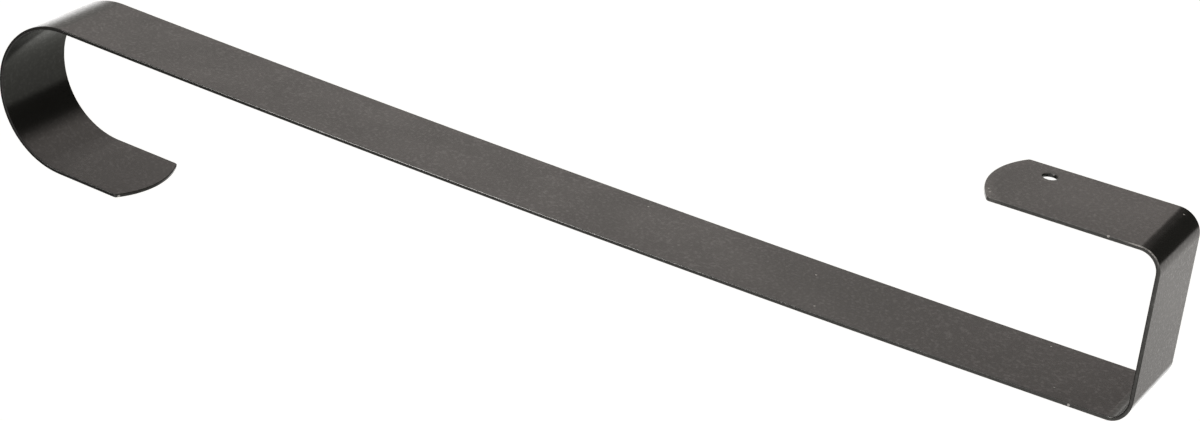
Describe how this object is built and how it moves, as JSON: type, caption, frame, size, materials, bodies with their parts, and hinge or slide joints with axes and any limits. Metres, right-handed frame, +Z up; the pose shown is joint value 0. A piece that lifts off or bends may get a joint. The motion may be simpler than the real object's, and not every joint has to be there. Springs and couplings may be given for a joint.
{
  "type": "over door hook",
  "caption": "Flat steel strip bent over the top of a door at one end and into a wide J hook at the other, with rounded ends, a fixing hole and a satin black painted finish.",
  "frame": {"origin": "middle of the saddle's underside, where it rests on the middle of the door's top edge", "axes": "+Z up, +Y from the hook side of the door to the back leg's side, +X along the door's top, towards the strip edge that is nearer the fixing hole"},
  "size_m": [0.0286, 0.0868, 0.3545],
  "materials": {
    "black_paint": "satin black powder coat on steel strip"
  },
  "bodies": {
    "root": {"hook_strip": "black_paint"}
  },
  "joints": []
}
